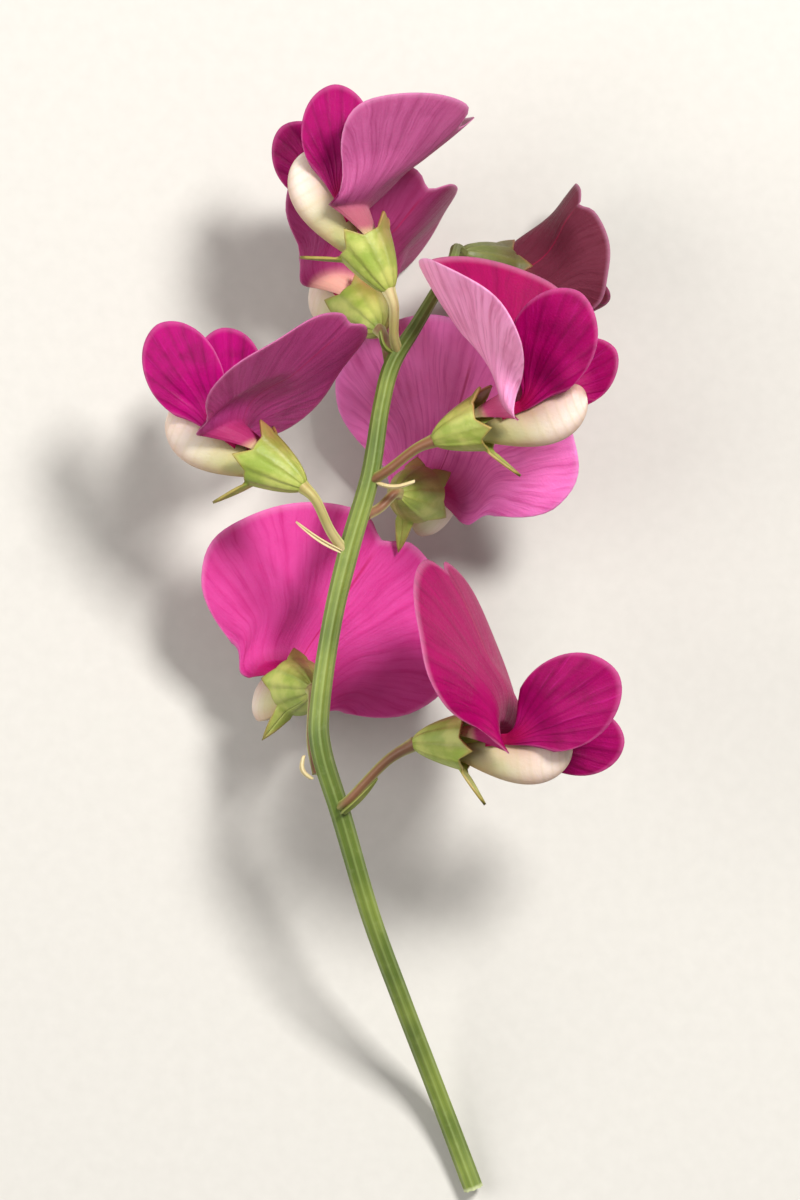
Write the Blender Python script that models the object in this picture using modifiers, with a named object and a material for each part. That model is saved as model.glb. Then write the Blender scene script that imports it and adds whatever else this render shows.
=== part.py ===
"""A cut raceme of earthnut pea: eight pea flowers on one stem, lying on a flat surface.

Metres, +Z up. The stem lies along +Y and the flowers spread along X. Sizes below are in
millimetres and angles in degrees, as they would be measured on the plant."""

from math import pi

import bmesh
import bpy
import numpy as np
from mathutils import Matrix, Vector

MM = 0.001

# Thickness of the petals and the calyx wall, and the gap between neighbours
PETAL = 0.6
CALYX_WALL = 0.6
GAP = 0.3

# Calyx: a bell whose mouth carries five teeth
TUBE_LENGTH = 4.2
TUBE_RADIUS = 2.2
TUBE_LIFT = 0.5
TUBE_SHARE = 0.75
RIM = 0.35
# Place round the mouth from the upper side, half width, length and outward lean of each tooth
TEETH = (
    (30, 28, 1.5, 38),
    (-30, 28, 1.5, 38),
    (105, 32, 1.7, 16),
    (-105, 32, 1.7, 16),
    (180, 20, 3.5, 50),
)

# Standard: a channelled claw that opens into a broad notched blade
CLAW_FROM = 4.0
CLAW_TO = 7.3
CLAW_RADIUS = 1.0
CLAW_OPENING = 1.8
AURICLE = 1.6
CLAW_SHARE = 0.22
BLADE_FAN = 100
BLADE_REACH = 13.6
BLADE_JOINT = (7.5, 2.3)
BLADE_BLEND = 6.0
BLADE_ONWARD = 0.2
BLADE_SPREAD = 0.9
MARGIN_WAVE = 0.35

# Wings: an oblique blade on a short heel, and the keel between them
WING_FAN = 42
WING_REACH = 10.2
WING_HEEL = (8.2, 1.25, 1.0)
WING_ROOT = (6.4, 1.1, 0.7)
WING_SHARE = 0.2
WING_STANDOFF = 0.9
KEEL_FROM = 3.4
KEEL_TO = 13.3
KEEL_WIDTH = 1.3

STEPS = 10


def ease(x):
    x = np.clip(x, 0.0, 1.0)
    return x * x * (3 - 2 * x)


def turned(arc, first, soft, curl):
    """How far a line gets sideways and forwards when it turns by `first` within `soft` and then curls."""
    sideways = np.zeros_like(arc)
    forwards = np.zeros_like(arc)
    for step in range(STEPS):
        part = arc * (step + 0.5) / STEPS
        angle = np.radians(first * (1 - np.exp(-part / soft)) + curl * part)
        sideways = sideways + np.cos(angle) * arc / STEPS
        forwards = forwards + np.sin(angle) * arc / STEPS
    return sideways, forwards


def blade_edge(angle, size, notch, narrow):
    """Length of the standard's blade along a vein that leaves the midrib by `angle` degrees."""
    edge = BLADE_REACH * size * (1 - notch * np.exp(-((angle / 6) ** 2)))
    edge = edge * (1 - narrow * (angle / 100) ** 3) * (1 - 0.2 * ease((angle - 80) / 22))
    return edge * (1 + 0.06 * np.exp(-(((angle - 68) / 13) ** 2)))


def standard_form(u, t, flower):
    """Points of the standard for u from its right margin -1 to its left margin 1, t from base to edge."""
    k = np.clip(t / CLAW_SHARE, 0, 1)
    wrap = np.radians(u * (70 + 35 * k))
    claw_end = CLAW_TO - flower.get("drawn_in", 0) + flower.get("auricle", AURICLE) * u**2
    wide = CLAW_RADIUS + CLAW_OPENING * k
    high = CLAW_RADIUS + 0.9 * k
    claw = np.stack(
        [CLAW_FROM + (claw_end - CLAW_FROM) * k, wide * np.sin(wrap), 0.6 - 0.15 * k + high * np.cos(wrap)], -1
    )

    angle = np.abs(u) * BLADE_FAN
    s = np.clip((t - CLAW_SHARE) / (1 - CLAW_SHARE), 0, 1)
    reach = s * blade_edge(angle, flower["size"], flower.get("notch", 0.1), flower.get("narrow", 0.5))
    across = reach * np.sin(np.radians(angle))
    along = reach * np.cos(np.radians(angle))
    fold = np.where(u > 0, flower["fold_left"], flower["fold_right"]) + flower.get("twist", 0) * along
    curl = np.where(u > 0, flower.get("curl_left", 0), flower.get("curl_right", 0))
    sideways, forwards = turned(across, fold, flower.get("soft", 1.5), curl)
    ahead = np.zeros_like(along)
    up = np.zeros_like(along)
    for step in range(STEPS):
        lean = np.radians(flower["reflex"] + flower.get("arch", 0) * along * (step + 0.5) / STEPS)
        ahead = ahead + np.cos(lean) * along / STEPS
        up = up + np.sin(lean) * along / STEPS
    lean = np.radians(flower["reflex"] + flower.get("arch", 0) * along)
    joint = BLADE_JOINT[0] - flower.get("drawn_in", 0)
    blade = np.stack(
        [
            joint + ahead + forwards * np.sin(lean) + MARGIN_WAVE * s**3 * np.sin(9 * u + 2 * fold),
            np.sign(u) * sideways,
            BLADE_JOINT[1] + up - forwards * np.cos(lean),
        ],
        -1,
    )
    wrap = np.radians(u * 105)
    rim_wide = CLAW_RADIUS + CLAW_OPENING
    spread = BLADE_SPREAD * reach
    rim = np.stack(
        [claw_end + BLADE_ONWARD * reach, (rim_wide + spread) * np.sin(wrap), 0.45 + (1.9 + spread) * np.cos(wrap)],
        -1,
    )
    blend = ease(reach / BLADE_BLEND)[..., None]
    return np.where((t <= CLAW_SHARE)[..., None], claw, rim + (blade - rim) * blend)


def wing_form(u, t, flower, side):
    """Points of a wing for u from its lower margin -1 to its upper margin 1, t from heel to edge."""
    name = "left" if side > 0 else "right"
    k = np.clip(t / WING_SHARE, 0, 1)
    root = np.array(WING_ROOT)
    heel = np.array(WING_HEEL)
    claw = root + (heel - root) * k[..., None]
    claw[..., 2] += u * 0.45
    s = np.clip((t - WING_SHARE) / (1 - WING_SHARE), 0, 1)
    reach = s * WING_REACH * flower.get("wing_" + name, 1.0) * (1 - 0.62 * np.abs(u) ** 1.7)
    angle = np.radians(flower["lift_" + name] + u * WING_FAN)
    ahead = reach * np.cos(angle)
    up = reach * np.sin(angle)
    lean = np.radians(flower.get("lean_" + name, 8))
    flare = np.radians(flower.get("flare_" + name, 4))
    out = np.abs(up) * np.sin(lean) + ahead * np.sin(flare) + WING_STANDOFF * ease((reach - 2.0) / 3.6)
    blade = np.stack([heel[0] + ahead * np.cos(flare), heel[1] + out, heel[2] + up * np.cos(lean)], -1)
    start = np.stack(
        [
            heel[0] + 0.8 * reach * np.cos(angle / 2),
            heel[1] + 0.3 * reach,
            heel[2] + u * 0.45 + 0.8 * reach * np.sin(angle / 2),
        ],
        -1,
    )
    blend = ease(reach / 3.2)[..., None]
    points = np.where((t <= WING_SHARE)[..., None], claw, start + (blade - start) * blend)
    return points * np.array([1, side, 1])


def keel_form(k, turn):
    """Points of the keel for k from its claw 0 to its nose 1, turn in radians round it from the top."""
    half = (0.5 + 4.5 * k**1.2) * (1 - k) ** 0.43
    middle = -0.35 - 0.7 * k * (1 - k) + 0.85 * k**4
    wide = np.minimum((0.4 + 3.3 * k**1.2) * np.sqrt(1 - k), KEEL_WIDTH)
    x = KEEL_FROM + (KEEL_TO - KEEL_FROM) * k
    return np.stack([x, wide * np.sin(turn) * (0.85 + 0.15 * np.cos(turn)), middle + half * np.cos(turn)], -1)


def calyx_form(turn, s):
    """Points of the calyx for turn in degrees round it from the upper side, s from base 0 to rim 1."""
    body = np.clip(s / TUBE_SHARE, 0, 1)
    tip = np.clip((s - TUBE_SHARE) / (1 - TUBE_SHARE), 0, 1)
    longest = np.full_like(turn, RIM)
    lean = np.full_like(turn, 10.0)
    for place, half_width, length, outward in TEETH:
        away = np.abs((turn - place + 180) % 360 - 180)
        tooth = length * np.clip(1 - away / half_width, 0, 1) ** 1.25
        lean = np.where(tooth > longest, outward, lean)
        longest = np.maximum(longest, tooth)
    lean = np.radians(lean)
    radius = TUBE_RADIUS * body**0.6 + tip * longest * np.sin(lean)
    x = TUBE_LENGTH * body**1.15 + tip * longest * np.cos(lean)
    middle = TUBE_LIFT * body**0.7
    turn = np.radians(turn)
    return np.stack([x, radius * np.sin(turn), middle + radius * np.cos(turn)], -1)


# The eight flowers from the lowest up: where the calyx starts, which way the flower points and which
# way its standard stands. `fold` is how far each half of the standard turns forwards from the
# midrib and `soft` over what width it does so, `curl` how much further it turns with each
# millimetre, `reflex` how far the blade stands back from its claw and `arch` how much further with
# each millimetre. `narrow` trims the lower margins, `drawn_in` shortens the claw and `auricle` is
# how far the claw's sides run on. `lift` is how steeply a wing rises, `flare` how far it spreads.
FLOWERS = {
    1: {
        "base": (1.0, -11.4, 20.0),
        "forward": (0.95, -0.08, 0.30),
        "dorsal": (0.05, 0.99, 0.0),
        "fold_left": -10,
        "fold_right": 0,
        "curl_right": -2,
        "narrow": 0.7,
        "reflex": 107,
        "arch": 1.5,
        "size": 1.06,
        "lift_left": 3,
        "lift_right": 33,
        "wing_left": 0.84,
        "wing_right": 1.1,
    },
    2: {
        "base": (-7.0, -7.2, 14.0),
        "forward": (-0.33, -0.05, -0.94),
        "dorsal": (0.52, 0.85, 0.0),
        "fold_left": 5,
        "fold_right": 5,
        "reflex": 110,
        "size": 1.03,
        "lift_left": 50,
        "lift_right": 50,
        "wing_left": 0.85,
        "wing_right": 0.75,
    },
    3: {
        "base": (-7.6, 9.0, 20.0),
        "forward": (-0.82, 0.41, -0.34),
        "dorsal": (0.43, 0.9, 0.0),
        "fold_left": 0,
        "fold_right": 3,
        "reflex": 113,
        "size": 0.93,
        "lift_left": 34,
        "lift_right": 53,
        "wing_left": 0.95,
        "wing_right": 0.93,
        "notch": 0.05,
    },
    4: {
        "base": (2.6, 12.7, 20.0),
        "forward": (0.92, 0.22, 0.30),
        "dorsal": (-0.2, 0.97, 0.0),
        "fold_left": 42,
        "fold_right": 42,
        "reflex": 113,
        "soft": 1.6,
        "size": 0.94,
        "lift_left": 20,
        "lift_right": 45,
        "wing_left": 0.78,
        "wing_right": 1.06,
        "drawn_in": 0.7,
    },
    5: {
        "base": (-0.2, 8.6, 14.4),
        "forward": (0.30, -0.12, -0.95),
        "dorsal": (0.42, 0.90, 0.0),
        "fold_left": 5,
        "fold_right": 5,
        "reflex": 113,
        "size": 1.0,
        "lift_left": 50,
        "lift_right": 50,
        "wing_left": 0.8,
        "wing_right": 0.85,
    },
    6: {
        "base": (-0.8, 24.6, 20.0),
        "forward": (-0.55, 0.8, -0.16),
        "dorsal": (0.8, 0.6, 0.0),
        "fold_left": 48,
        "fold_right": 35,
        "soft": 2.0,
        "reflex": 86,
        "notch": 0.16,
        "size": 0.85,
        "lift_left": 32,
        "lift_right": -4,
        "wing_left": 0.88,
        "wing_right": 0.85,
        "flare_right": 8,
        "flare_left": 2,
        "narrow": 0.85,
        "auricle": 1.2,
        "drawn_in": 0.6,
    },
    7: {
        "base": (-1.6, 21.7, 12.0),
        "forward": (-0.4, 0.3, -0.86),
        "dorsal": (0.42, 0.9, 0.0),
        "fold_left": 30,
        "fold_right": 50,
        "reflex": 110,
        "size": 0.82,
        "lift_left": 45,
        "lift_right": 45,
        "wing_left": 0.85,
        "wing_right": 0.72,
    },
    8: {
        "base": (5.0, 27.9, 11.3),
        "forward": (0.48, -0.36, -0.8),
        "dorsal": (0.78, 0.6, 0.1),
        "fold_left": 70,
        "fold_right": 30,
        "soft": 2.5,
        "reflex": 108,
        "size": 0.6,
        "lift_left": 42,
        "lift_right": 42,
        "wing_left": 0.72,
        "wing_right": 0.68,
    },
}

# The stem from its cut end to the tip of the rachis, which carries the last flower, and its radius there
STEM = (
    (6.0, -48.0, 0.0, 0.95),
    (4.2, -43.2, 0.7, 0.92),
    (2.4, -38.4, 2.6, 0.88),
    (0.0, -32.0, 7.4, 0.84),
    (-2.4, -25.3, 11.8, 0.8),
    (-4.7, -17.3, 15.4, 0.8),
    (-6.3, -12.0, 16.8, 0.82),
    (-6.4, -8.4, 17.0, 0.78),
    (-5.4, -1.6, 17.0, 0.76),
    (-4.0, 4.3, 17.0, 0.8),
    (-2.4, 9.9, 17.0, 0.74),
    (-1.5, 15.5, 17.0, 0.66),
    (-0.6, 18.9, 17.0, 0.66),
    (1.2, 21.8, 17.0, 0.54),
    (3.2, 25.2, 16.4, 0.46),
    (4.2, 27.2, 14.8, 0.42),
)
STEM_RIBS = 4
RIB_SHARE = 0.12

# Where each pedicel leaves the stem and how it bends; it ends at the calyx of its flower
PEDICELS = {
    1: ((-4.9, -16.6, 16.4), (-4.0, -15.9, 17.6), (-2.2, -14.4, 18.8)),
    2: ((-6.6, -13.9, 15.9), (-7.1, -11.2, 15.3), (-7.3, -8.6, 15.2)),
    3: ((-4.5, 4.0, 17.2), (-5.6, 5.6, 18.4), (-6.7, 7.4, 19.6)),
    4: ((-2.2, 9.6, 17.2), (-0.9, 10.4, 18.4), (0.8, 11.6, 19.3)),
    5: ((-2.7, 6.8, 16.6), (-1.6, 7.4, 15.8), (-0.5, 8.3, 15.3)),
    6: ((-0.2, 20.0, 17.2), (-0.5, 21.2, 18.6), (-0.7, 22.9, 19.7)),
    7: ((-0.8, 18.2, 16.5), (-0.9, 19.1, 15.4), (-1.3, 20.5, 13.6)),
}
PEDICEL_RADIUS = 0.42

# Small pointed bracts at the feet of the pedicels: foot, tip, which way the blade faces, half width
BRACTS = {
    1: ((-4.9, -16.9, 17.0), (-1.9, -14.9, 18.0), (0.6, -0.7, 0.4), 0.45),
    2: ((-6.9, -14.3, 16.2), (-7.6, -12.4, 16.4), (-1.0, 0.0, 0.3), 0.5),
    3: ((-4.6, 3.9, 17.2), (-8.1, 6.2, 17.6), (0.3, -0.6, 0.8), 0.35),
    4: ((-2.1, 9.6, 17.2), (1.2, 9.6, 18.0), (0.1, -0.9, 0.5), 0.35),
    6: ((-0.3, 19.8, 17.0), (-1.9, 22.2, 17.9), (-0.8, -0.3, 0.6), 0.35),
}


def clear_scene():
    for thing in list(bpy.data.objects):
        bpy.data.objects.remove(thing, do_unlink=True)


def new_collection(name):
    made = bpy.data.collections.new(name)
    bpy.context.scene.collection.children.link(made)
    return made


def new_material(name, colour, roughness):
    made = bpy.data.materials.new(name)
    made.use_nodes = True
    shader = made.node_tree.nodes["Principled BSDF"]
    shader.inputs["Base Color"].default_value = (*colour, 1.0)
    shader.inputs["Roughness"].default_value = roughness
    shader.inputs["Metallic"].default_value = 0.0
    return made


def mesh_object(name, grid, material, parts, parent):
    """A new object from a bmesh, which is used up."""
    mesh = bpy.data.meshes.new(name)
    grid.to_mesh(mesh)
    grid.free()
    made = bpy.data.objects.new(name, mesh)
    parts.objects.link(made)
    mesh.materials.append(material)
    made.parent = parent
    return made


def grid_of(columns, rows):
    """A flat grid whose x is -1 to 1 across and y 0 to 1 along."""
    grid = bmesh.new()
    bmesh.ops.create_grid(grid, x_segments=columns, y_segments=rows, size=1.0)
    places = np.array([vert.co for vert in grid.verts])
    return grid, places[:, 0], (places[:, 1] + 1) / 2


def place(grid, points):
    for vert, point in zip(grid.verts, points):
        vert.co = Vector(point) * MM


def thicken(thing, thickness, offset):
    """Both faces get the same triangles, so that a waved blade is equally thick everywhere."""
    cut = thing.modifiers.new("triangles", "TRIANGULATE")
    cut.quad_method = "FIXED"
    wall = thing.modifiers.new("thickness", "SOLIDIFY")
    wall.thickness = thickness * MM
    wall.offset = offset


def make_standard(number, flower, material, parts, parent):
    grid, u, t = grid_of(12, 10)
    place(grid, standard_form(u, t, flower))
    made = mesh_object(f"standard_{number}", grid, material, parts, parent)
    thicken(made, PETAL, 0)


def make_wing(number, flower, side, material, parts, parent):
    grid, u, t = grid_of(7, 6)
    place(grid, wing_form(u, t, flower, side))
    which = "left" if side > 0 else "right"
    made = mesh_object(f"wing_{which}_{number}", grid, material, parts, parent)
    thicken(made, PETAL, 0)


def make_keel(number, material, parts, parent):
    grid = bmesh.new()
    bmesh.ops.create_uvsphere(grid, u_segments=12, v_segments=10, radius=1.0)
    places = np.array([vert.co for vert in grid.verts])
    share = np.arccos(np.clip(-places[:, 2], -1, 1)) / pi
    k = np.clip(1 - (1 - share) ** 2, 0, 1)
    place(grid, keel_form(k, np.arctan2(places[:, 0], places[:, 1])))
    bmesh.ops.recalc_face_normals(grid, faces=grid.faces)
    mesh_object(f"keel_{number}", grid, material, parts, parent)


def make_calyx(number, material, parts, parent):
    grid, u, s = grid_of(24, 4)
    place(grid, calyx_form(u * 180, s))
    bmesh.ops.remove_doubles(grid, verts=grid.verts, dist=1e-6)
    bmesh.ops.recalc_face_normals(grid, faces=grid.faces)
    widest = max(grid.faces, key=lambda face: face.calc_center_median().y)
    if widest.normal.y < 0:
        bmesh.ops.reverse_faces(grid, faces=grid.faces)
    made = mesh_object(f"calyx_{number}", grid, material, parts, parent)
    thicken(made, CALYX_WALL, -1)


def flower_matrix(flower):
    forward = Vector(flower["forward"]).normalized()
    dorsal = Vector(flower["dorsal"])
    dorsal = (dorsal - forward * dorsal.dot(forward)).normalized()
    left = dorsal.cross(forward)
    turn = Matrix((forward, left, dorsal)).transposed().to_4x4()
    return Matrix.Translation(Vector(flower["base"]) * MM) @ turn


def smooth_path(points, between):
    """The points with `between` steps of a smooth curve from each to the next."""
    points = np.array(points, float)
    ends = np.vstack([2 * points[0] - points[1], points, 2 * points[-1] - points[-2]])
    out = []
    for i in range(len(points) - 1):
        a, b, c, d = ends[i : i + 4]
        for step in range(between):
            t = step / between
            out.append(0.5 * (2 * b + (c - a) * t + (2 * a - 5 * b + 4 * c - d) * t**2
                              + (3 * b - a - 3 * c + d) * t**3))
    out.append(points[-1])
    return np.array(out)


def ribbed_profile(guides):
    """The cross-section of the stem, one unit in radius."""
    curve = bpy.data.curves.new("stem_section", "CURVE")
    curve.dimensions = "2D"
    spline = curve.splines.new("POLY")
    sides = STEM_RIBS * 3
    spline.points.add(sides - 1)
    for i in range(sides):
        turn = 2 * pi * i / sides
        out = 1 + RIB_SHARE * np.cos(STEM_RIBS * turn)
        spline.points[i].co = (out * np.cos(turn) * MM, out * np.sin(turn) * MM, 0, 1)
    spline.use_cyclic_u = True
    made = bpy.data.objects.new("stem_section", curve)
    guides.objects.link(made)
    made.hide_render = True
    made.display_type = "WIRE"
    return made


def tube(name, path, radii, section, collection):
    """A tapering closed tube along a path, as a mesh."""
    curve = bpy.data.curves.new(name, "CURVE")
    curve.dimensions = "3D"
    curve.twist_mode = "MINIMUM"
    curve.use_fill_caps = True
    if section:
        curve.bevel_mode = "OBJECT"
        curve.bevel_object = section
    else:
        curve.bevel_depth = MM
        curve.bevel_resolution = 1
    spline = curve.splines.new("POLY")
    spline.points.add(len(path) - 1)
    for point, at, radius in zip(spline.points, path, radii):
        point.co = (*(Vector(at) * MM), 1)
        point.radius = radius
    source = bpy.data.objects.new(name, curve)
    collection.objects.link(source)
    bpy.context.view_layer.update()
    mesh = bpy.data.meshes.new_from_object(source.evaluated_get(bpy.context.evaluated_depsgraph_get()))
    bpy.data.objects.remove(source)
    grid = bmesh.new()
    grid.from_mesh(mesh)
    bmesh.ops.remove_doubles(grid, verts=grid.verts, dist=1e-6)
    bmesh.ops.recalc_face_normals(grid, faces=grid.faces)
    grid.to_mesh(mesh)
    grid.free()
    made = bpy.data.objects.new(name, mesh)
    collection.objects.link(made)
    return made


def make_bract(number, foot, tip, facing, half_width, joined):
    """A narrow pointed blade, its foot sunk in the stem."""
    foot = Vector(foot)
    along = Vector(tip) - foot
    face = Vector(facing)
    face = (face - along * (face.dot(along) / along.length_squared)).normalized()
    across = along.cross(face).normalized()
    grid, u, t = grid_of(2, 5)
    width = half_width * (1 - 0.75 * t**1.5)
    rise = 0.5 * np.sin(pi * t)
    points = [
        foot + along * float(k) + across * float(w * v) + face * float(h)
        for v, k, w, h in zip(u, t, width, rise)
    ]
    place(grid, points)
    mesh = bpy.data.meshes.new(f"bract_{number}")
    grid.to_mesh(mesh)
    grid.free()
    made = bpy.data.objects.new(f"bract_{number}", mesh)
    joined.objects.link(made)
    thicken(made, PETAL, 0)


def make_axis(material, parts, guides, parent):
    """The stem with its pedicels and bracts, as one solid."""
    joined = new_collection("grown_on")
    path = smooth_path(STEM, 2)
    tip = FLOWERS[8]
    into = Vector(tip["forward"]).normalized()
    last = Vector(tip["base"]) - into * GAP
    path = np.vstack([path, [*(last - into * 1.0), 0.42], [*last, 0.45]])
    section = ribbed_profile(guides)
    stem = tube("raceme_axis", path[:, :3], path[:, 3], section, parts)
    for number, points in PEDICELS.items():
        into = Vector(FLOWERS[number]["forward"]).normalized()
        last = Vector(FLOWERS[number]["base"]) - into * GAP
        route = np.vstack([smooth_path([*points, tuple(last - into * 0.6)], 2), [tuple(last)]])
        radii = np.linspace(1.0, 1.15, len(route)) * PEDICEL_RADIUS
        tube(f"pedicel_{number}", route, radii, None, joined)
    for number, (foot, point, facing, half_width) in BRACTS.items():
        make_bract(number, foot, point, facing, half_width, joined)
    union = stem.modifiers.new("grown together", "BOOLEAN")
    union.operation = "UNION"
    union.operand_type = "COLLECTION"
    union.collection = joined
    union.solver = "EXACT"
    bpy.context.view_layer.update()
    whole = bpy.data.meshes.new_from_object(stem.evaluated_get(bpy.context.evaluated_depsgraph_get()))
    stem.modifiers.clear()
    stem.data = whole
    whole.materials.clear()
    whole.materials.append(material)
    for thing in list(joined.objects):
        bpy.data.objects.remove(thing)
    bpy.data.collections.remove(joined)
    stem.parent = parent


def rest_on_ground(root, parts):
    """Moves the whole so that it stands on z = 0 with its bounding box centred on the origin."""
    bpy.context.view_layer.update()
    graph = bpy.context.evaluated_depsgraph_get()
    low = np.full(3, np.inf)
    high = np.full(3, -np.inf)
    for thing in parts.objects:
        if thing.type != "MESH":
            continue
        shape = thing.evaluated_get(graph)
        for vert in shape.data.vertices:
            at = np.array(shape.matrix_world @ vert.co)
            low = np.minimum(low, at)
            high = np.maximum(high, at)
    root.location = (-(low[0] + high[0]) / 2, -(low[1] + high[1]) / 2, -low[2])
    print("moved by, mm", np.round(np.array(root.location) / MM, 3), "size, mm", np.round((high - low) / MM, 2))


def main():
    clear_scene()
    parts = new_collection("earthnut_pea_flower")
    guides = new_collection("guides")
    guides.hide_render = True

    pink = new_material("standard_pink", (0.75, 0.08, 0.42), 0.5)
    magenta = new_material("wing_magenta", (0.5, 0.005, 0.22), 0.5)
    cream = new_material("keel_cream", (0.75, 0.68, 0.45), 0.5)
    green = new_material("calyx_green", (0.3, 0.38, 0.1), 0.6)
    stem_green = new_material("stem_green", (0.2, 0.32, 0.08), 0.6)

    root = bpy.data.objects.new("raceme", None)
    parts.objects.link(root)
    make_axis(stem_green, parts, guides, root)
    for number, flower in FLOWERS.items():
        holder = bpy.data.objects.new(f"flower_{number}", None)
        parts.objects.link(holder)
        holder.parent = root
        holder.matrix_local = flower_matrix(flower)
        make_calyx(number, green, parts, holder)
        make_standard(number, flower, pink, parts, holder)
        make_wing(number, flower, 1, magenta, parts, holder)
        make_wing(number, flower, -1, magenta, parts, holder)
        make_keel(number, cream, parts, holder)
    rest_on_ground(root, parts)


main()
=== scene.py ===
"""Earthnut pea: a cut raceme with eight pea flowers, lying on a pale surface and seen from above."""

from math import pi

import bmesh
import bpy
import numpy as np
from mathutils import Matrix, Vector


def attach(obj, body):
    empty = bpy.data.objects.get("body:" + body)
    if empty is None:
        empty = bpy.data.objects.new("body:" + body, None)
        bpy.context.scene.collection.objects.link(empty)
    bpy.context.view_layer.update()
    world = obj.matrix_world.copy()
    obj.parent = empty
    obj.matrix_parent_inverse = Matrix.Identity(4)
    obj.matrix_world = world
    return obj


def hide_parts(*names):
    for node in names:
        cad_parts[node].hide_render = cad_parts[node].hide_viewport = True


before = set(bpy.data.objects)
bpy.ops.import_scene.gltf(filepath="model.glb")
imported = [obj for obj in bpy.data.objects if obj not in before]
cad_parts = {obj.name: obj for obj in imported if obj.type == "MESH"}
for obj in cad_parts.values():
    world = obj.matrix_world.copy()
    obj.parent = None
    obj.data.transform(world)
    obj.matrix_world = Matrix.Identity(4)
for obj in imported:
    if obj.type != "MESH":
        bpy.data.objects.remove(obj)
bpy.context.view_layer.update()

MM = 0.001
# Where the raceme's own zero point lies in the frame, mm
MOVED = np.array([1.478, 3.736, 1.125])

# Sizes are in mm and angles in degrees. A SHARE is the part of a surface's length, from its base, that
# the named piece takes. A GRID is how many faces a surface has across and along.
# A flower points along x, its left is y, and its standard stands up along z.

# Thickness of the petals and the calyx wall
PETAL = 0.2
CALYX_WALL = 0.22

# Calyx: a bell whose mouth carries five teeth
TUBE_LENGTH = 4.2
TUBE_RADIUS = 2.2
TUBE_LIFT = 0.5
TUBE_SHARE = 0.75
RIM = 0.35
RIM_LEAN = 10.0
CALYX_RIBS = 10
CALYX_RIB_DEPTH = 0.03
CALYX_GRID = (120, 30)
# Place round the mouth from the upper side, half width, length and outward lean of each tooth
TEETH = (
    (30, 28, 1.5, 38),
    (-30, 28, 1.5, 38),
    (105, 32, 1.7, 16),
    (-105, 32, 1.7, 16),
    (180, 20, 3.5, 50),
)

# Standard: a channelled claw that opens into a broad notched blade
CLAW_FROM = 4.0
CLAW_TO = 7.3
CLAW_RADIUS = 1.0
CLAW_OPENING = 1.8
CLAW_RISE = 0.9
CLAW_MIDDLE = 0.6
CLAW_SINK = 0.15
CLAW_WRAP = 70
MOUTH_WRAP = 105
AURICLE = 1.6
CLAW_SHARE = 0.22
BLADE_FAN = 100
BLADE_REACH = 13.6
BLADE_JOINT = (7.5, 2.3)
BLADE_BLEND = 6.0
BLADE_ONWARD = 0.2
BLADE_SPREAD = 0.9
MARGIN_WAVE = 0.35
MARGIN_WAVES = 9
STANDARD_GRID = (64, 60)
# The blade's margin by the angle to the midrib: half width of the notch at its tip, then place, width
# and height of the shoulder, and start, width and depth of the round towards its foot
NOTCH_WIDTH = 6
SHOULDER = (68, 13, 0.06)
FOOT_ROUND = (80, 22, 0.2)

# Wings: an oblique blade on a short heel, and the keel between them
WING_FAN = 42
WING_REACH = 10.2
WING_NARROWING = 0.62
WING_HEEL = (8.2, 1.25, 1.0)
WING_ROOT = (6.4, 1.1, 0.7)
WING_ROOT_HEIGHT = 0.45
WING_SHARE = 0.2
WING_LEAN = 8
WING_FLARE = 4
WING_BLEND = 3.2
# How far a wing stands off the keel, from which reach and over what length
WING_STANDOFF = (0.9, 2.0, 3.6)
# How fast the foot of a wing's blade runs on and out
WING_START = (0.8, 0.3)
WING_GRID = (40, 40)
KEEL_FROM = 3.4
KEEL_TO = 13.3
KEEL_WIDTH = 1.3
KEEL_FOLD_DEPTH = 0.18
KEEL_SEAM_DEPTH = 0.12
KEEL_GRID = (44, 40)

# Soft wrinkles: how many waves they are made of, and their depth
WRINKLE_WAVES = 7
STANDARD_WRINKLES = 0.12
WING_WRINKLES = 0.1

# Steps in which a bending line is added up
STEPS = 10


def ease(x):
    """0 to 1 with a soft start and a soft end."""
    x = np.clip(x, 0.0, 1.0)
    return x * x * (3 - 2 * x)


def turned(arc, first, soft, curl):
    """How far a line gets sideways and forwards when it turns by `first` within `soft`, then curls."""
    sideways = np.zeros_like(arc)
    forwards = np.zeros_like(arc)
    for step in range(STEPS):
        part = arc * (step + 0.5) / STEPS
        angle = np.radians(first * (1 - np.exp(-part / soft)) + curl * part)
        sideways = sideways + np.cos(angle) * arc / STEPS
        forwards = forwards + np.sin(angle) * arc / STEPS
    return sideways, forwards


def blade_edge(angle, size, notch, narrow):
    """Length of the standard's blade along a vein that leaves the midrib by `angle` degrees."""
    edge = BLADE_REACH * size * (1 - notch * np.exp(-((angle / NOTCH_WIDTH) ** 2)))
    start, width, depth = FOOT_ROUND
    edge = edge * (1 - narrow * (angle / BLADE_FAN) ** 3) * (1 - depth * ease((angle - start) / width))
    place, width, height = SHOULDER
    return edge * (1 + height * np.exp(-(((angle - place) / width) ** 2)))


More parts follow.
